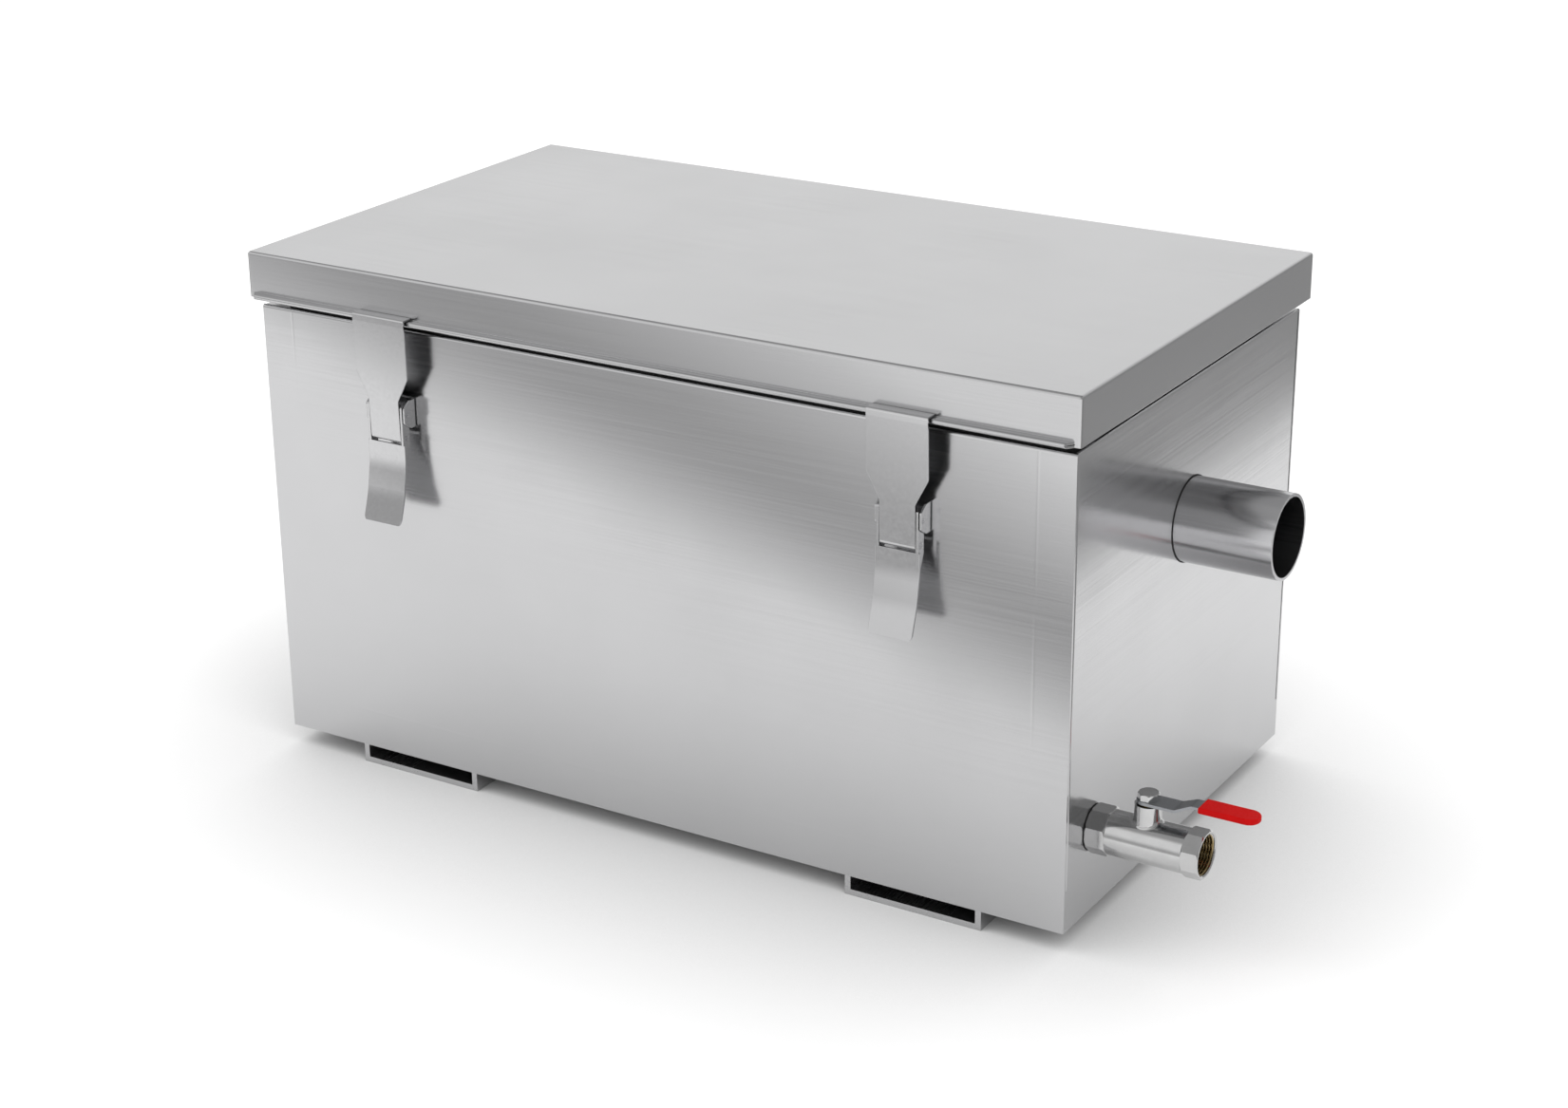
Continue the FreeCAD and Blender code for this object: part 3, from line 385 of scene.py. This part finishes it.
def valve_mouth():
    """End piece of the drain valve, with its octagon's ends turned off and a pipe thread in its mouth."""
    low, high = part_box("valve_end")
    mouth = high.x
    joint = mouth - OCTAGON_LENGTH

    def face_radius(angle):
        return min(octagon_reach(angle), OCTAGON_FACE)

    def turned(angle):
        return octagon_reach(angle) - face_radius(angle)

    outline = [
        lambda a: (low.x, PASSAGE_RADIUS),
        lambda a: (low.x, TAIL_RADIUS),
        lambda a: (joint, TAIL_RADIUS),
        lambda a: (joint, face_radius(a)),
        lambda a: (joint + turned(a), octagon_reach(a)),
        lambda a: (mouth - turned(a), octagon_reach(a)),
        lambda a: (mouth, face_radius(a)),
    ]
    bm = bmesh.new()
    rings = [add_ring(bm, place_of, RING_STEPS) for place_of in outline]
    count = int(THREAD_LENGTH / THREAD_PITCH * THREAD_STEPS)
    chamfer = int((MOUTH_RADIUS - THREAD_MINOR) / THREAD_PITCH * THREAD_STEPS)
    for i in range(count + 1):
        depth = THREAD_LENGTH * i / count
        rings.append(add_ring(bm, lambda a: (mouth - depth, thread_radius(depth, a)), RING_STEPS))
    rings.append(add_ring(bm, lambda a: (mouth - THREAD_LENGTH, PASSAGE_RADIUS), RING_STEPS))
    for i, ring in enumerate(rings):
        in_thread = len(outline) + chamfer <= i < len(outline) + count
        add_band(bm, ring, rings[(i + 1) % len(rings)], 1 if in_thread else 0)
    bmesh.ops.remove_doubles(bm, verts=bm.verts, dist=0.001 * MM)
    bmesh.ops.recalc_face_normals(bm, faces=bm.faces)
    piece = finish_piece(bm, "valve_mouth", frame["nodes"]["valve_end"]["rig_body"], "valve_plating")
    piece.data.materials.append(FINISHES["thread_metal"])
    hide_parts("valve_end")


def place_camera():
    """The photograph's viewpoint, unshifted."""
    cos_a, sin_a = math.cos(CAMERA_AZIMUTH), math.sin(CAMERA_AZIMUTH)
    cos_d, sin_d = math.cos(CAMERA_DROP), math.sin(CAMERA_DROP)
    ahead = Vector((-sin_a * cos_d, cos_a * cos_d, -sin_d))
    level = Vector((cos_a, sin_a, 0.0))
    upright = level.cross(ahead)
    right = math.cos(CAMERA_ROLL) * level + math.sin(CAMERA_ROLL) * upright
    up = math.cos(CAMERA_ROLL) * upright - math.sin(CAMERA_ROLL) * level
    data = bpy.data.cameras.new("camera")
    data.lens = CAMERA_LENS
    data.sensor_width = CAMERA_SENSOR
    camera = bpy.data.objects.new("camera", data)
    bpy.context.scene.collection.objects.link(camera)
    turn = Matrix((right, up, -ahead)).transposed().to_4x4()
    camera.matrix_world = Matrix.Translation(CAMERA_PLACE) @ turn
    bpy.context.scene.camera = camera


def seen_directly(tree):
    """1 for rays from the camera, and for those that metal or glass sends on, else 0."""
    path = add_node(tree, "ShaderNodeLightPath").outputs
    seen = shade(tree, path["Is Camera Ray"], path["Is Glossy Ray"], operation="MAXIMUM")
    return shade(tree, seen, path["Is Transmission Ray"], operation="MAXIMUM")


def stage_sheet(name, corners, material):
    """A flat sheet of the stage, whose UV map runs from its first corner along its first and last edges."""
    bm = bmesh.new()
    face = bm.faces.new([bm.verts.new(corner) for corner in corners])
    layer = bm.loops.layers.uv.new("UVMap")
    for loop, spot in zip(face.loops, ((0, 0), (1, 0), (1, 1), (0, 1))):
        loop[layer].uv = spot
    mesh = bpy.data.meshes.new(name)
    bm.to_mesh(mesh)
    bm.free()
    mesh.materials.append(material)
    sheet = bpy.data.objects.new(name, mesh)
    bpy.context.scene.collection.objects.link(sheet)
    return sheet


def stage_material(name, surface):
    """A material of the stage, whose surface function returns its shader."""
    material = bpy.data.materials.new(name)
    material.use_nodes = True
    tree = material.node_tree
    tree.nodes.clear()
    add_node(tree, "ShaderNodeOutputMaterial", {"Surface": surface(tree)})
    return material


def floor_surface(tree):
    """White paper with a painted soft shadow that darkens it near the trap, and that reads as white
    elsewhere.
    """
    sockets = {"Distance": SHADOW_REACH}
    # Painted shadow: ambient occlusion darkens the paper and dims its glow near the trap
    openness = add_node(tree, "ShaderNodeAmbientOcclusion", sockets, samples=8).outputs["AO"]
    tone = blend_colour(tree, openness, SHADED_PAPER, WHITE_PAPER)
    lift = shade(tree, seen_directly(tree), FLOOR_LIFT, operation="MULTIPLY")
    lift = shade(tree, lift, openness, operation="MULTIPLY")
    paper = add_node(tree, "ShaderNodeBsdfDiffuse", {"Color": tone})
    glow = add_node(tree, "ShaderNodeEmission", {"Strength": lift})
    return add_node(tree, "ShaderNodeAddShader", {0: paper.outputs[0], 1: glow.outputs[0]}).outputs[0]


def card_surface(grey, core):
    """Makes the shader of a card, grey up to core from its middle line and white at its long edges."""
    def surface(tree):
        spot = add_node(tree, "ShaderNodeTexCoord").outputs["UV"]
        across = add_node(tree, "ShaderNodeSeparateXYZ", {0: spot}).outputs["Y"]
        middle = shade(tree, shade(tree, across, 0.5, operation="SUBTRACT"), operation="ABSOLUTE")
        strength = spread(tree, middle, grey, 1.0, core, 0.5)
        return add_node(tree, "ShaderNodeEmission", {"Strength": strength}).outputs[0]
    return surface


def card_corners(axis, place, start, end):
    """Corners of an upright card that stands across an axis at a place.

    start and end give how far along the card's end is, how high its middle line is there, and how far the
    card reaches above and below that line.
    """
    corners = [(start[0], start[1] - start[2]), (end[0], end[1] - end[2]),
               (end[0], end[1] + end[2]), (start[0], start[1] + start[2])]
    if axis == "y":
        return [(along, place, up) for along, up in corners]
    return [(place, along, up) for along, up in corners]


def build_stage():
    """White floor, and grey cards that only metal sees."""
    corners = [(x * FLOOR_REACH, y * FLOOR_REACH, 0.0) for x, y in ((-1, -1), (1, -1), (1, 1), (-1, 1))]
    stage_sheet("floor", corners, stage_material("white_floor", floor_surface))
    soft = stage_material("soft_grey_card", card_surface(0.5, 0.1))
    deep = stage_material("deep_grey_card", card_surface(0.38, 0.3))
    cards = [
        ("front_card", soft, card_corners("y", -0.45, (-0.75, 0.39, 0.145), (0.4, 0.0, 0.08))),
        ("back_card", soft, card_corners("y", 0.45, (0.36, 0.24, 0.12), (-0.4, -0.02, 0.11))),
        ("right_card", deep, card_corners("x", 0.54, (-0.3, 0.28, 0.42), (1.3, 0.28, 0.42))),
        ("left_card", deep, card_corners("x", -0.58, (0.9, 0.155, 0.295), (-0.3, 0.155, 0.295))),
    ]
    for name, paint, corners in cards:
        card = stage_sheet(name, corners, paint)
        card.visible_camera = False
        card.visible_diffuse = False
        card.visible_shadow = False
        card.visible_transmission = False


def light_stage():
    """A pale sky, and three soft lamps that polished metal doesn't mirror.

    Metal sees a greyer sky to the right, above the back and overhead, which darkens the folds and hems.
    """
    world = bpy.data.worlds.new("studio_sky")
    bpy.context.scene.world = world
    world.use_nodes = True
    tree = world.node_tree
    tree.nodes.clear()
    heading = add_node(tree, "ShaderNodeTexCoord").outputs["Generated"]
    parts = add_node(tree, "ShaderNodeSeparateXYZ", {0: heading}).outputs
    above = spread(tree, parts["Z"], 0.0, CEILING_DARK, 0.5, 0.62)
    behind = shade(tree, above, spread(tree, parts["Y"], 0.0, 1.0, -0.1, 0.1), operation="MULTIPLY")
    zenith = spread(tree, parts["Z"], 0.0, ZENITH_DARK, 0.66, 0.8)
    open_sky = shade(tree, 1.0, shade(tree, behind, zenith, operation="MAXIMUM"), operation="SUBTRACT")
    rightward = spread(tree, parts["X"], 1.0, RIGHT_LIGHT, 0.0, 0.35)
    metal_sees = shade(tree, rightward, open_sky, operation="MULTIPLY")
    rays = add_node(tree, "ShaderNodeLightPath").outputs
    others_see = spread(tree, rays["Is Camera Ray"], SKY_LIGHT, 1.0, 0.0, 1.0)
    strength = blend(tree, rays["Is Glossy Ray"], others_see, metal_sees)
    sky = add_node(tree, "ShaderNodeBackground", {"Color": (1.0, 1.0, 1.0, 1.0), "Strength": strength})
    add_node(tree, "ShaderNodeOutputWorld", {"Surface": sky.outputs["Background"]})
    lamps = {
        "key_lamp": ((-1.6, -1.4, 2.6), 9.0),
        "fill_lamp": ((2.2, -1.2, 2.0), 6.0),
        "rim_lamp": ((0.4, 2.2, 2.2), 6.0),
    }
    for name, (place, power) in lamps.items():
        data = bpy.data.lights.new(name, "AREA")
        data.shape = "SQUARE"
        data.size = LAMP_SIZE
        data.energy = power
        lamp = bpy.data.objects.new(name, data)
        lamp.location = place
        aim = Vector((0.0, 0.0, LAMP_AIM)) - Vector(place)
        lamp.rotation_euler = aim.to_track_quat("-Z", "Y").to_euler()
        lamp.visible_glossy = False
        bpy.context.scene.collection.objects.link(lamp)
    bpy.context.scene.view_settings.view_transform = "Standard"


dress_solids()
valve_mouth()
place_camera()
build_stage()
light_stage()
bpy.context.view_layer.update()
